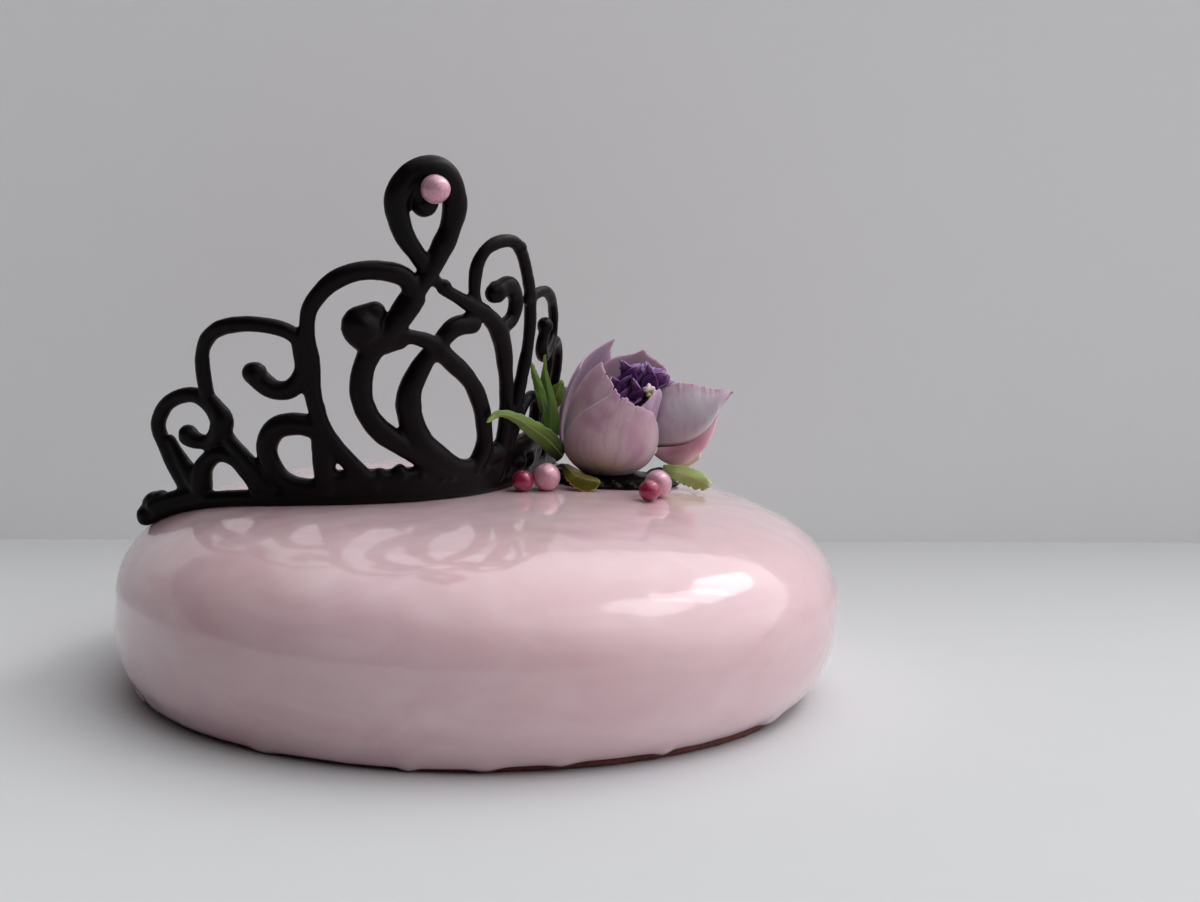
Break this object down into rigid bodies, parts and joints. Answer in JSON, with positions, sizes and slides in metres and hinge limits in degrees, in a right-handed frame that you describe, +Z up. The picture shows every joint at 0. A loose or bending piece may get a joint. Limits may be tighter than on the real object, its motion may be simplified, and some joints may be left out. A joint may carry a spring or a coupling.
{
  "type": "entremet cake",
  "caption": "Round glazed mousse cake with a low dome and rolled-in foot, topped by a standing scrollwork tiara, small round pearls and an open cupped flower with narrow leaves.",
  "frame": {"origin": "middle of the underside of the cake, on the surface it stands on", "axes": "+Z up, -Y towards the front that the picture shows, +X to the viewer's right"},
  "size_m": [0.18, 0.1797, 0.1331],
  "materials": {
    "glaze": "pale pink mirror glaze, wet gloss",
    "biscuit": "dark red-brown baked biscuit sheet",
    "chocolate": "piped dark chocolate, soft sheen",
    "pearl_light": "light pink pearly sugar",
    "pearl_deep": "deep pink pearly sugar",
    "petal": "mauve petal, velvety",
    "petal_rose": "deeper rose petal, velvety",
    "petal_pale": "pale inner petal, velvety",
    "floret": "dark purple florets",
    "leaf_green": "light green leaf",
    "leaf_olive": "olive leaf with a pale rim"
  },
  "bodies": {
    "root": {"glazed_mousse": "glaze", "biscuit_base": "biscuit", "chocolate_tiara": "chocolate", "chocolate_seat": "chocolate", "pearl_top": "pearl_light", "pearl_left_light": "pearl_light", "pearl_left_deep": "pearl_deep", "pearl_right_light": "pearl_light", "pearl_right_deep": "pearl_deep", "petal_front": "petal", "petal_left": "petal", "petal_back_left": "petal", "petal_back": "petal_pale", "petal_inner": "petal_pale", "petal_right": "petal", "petal_under": "petal_rose", "petal_pale": "petal_pale", "flower_heart": "floret", "leaf_curled": "leaf_green", "leaf_upright": "leaf_green", "leaf_short": "leaf_green", "leaf_side": "leaf_green", "leaf_right": "leaf_green", "leaf_cupped": "leaf_olive"}
  },
  "joints": []
}
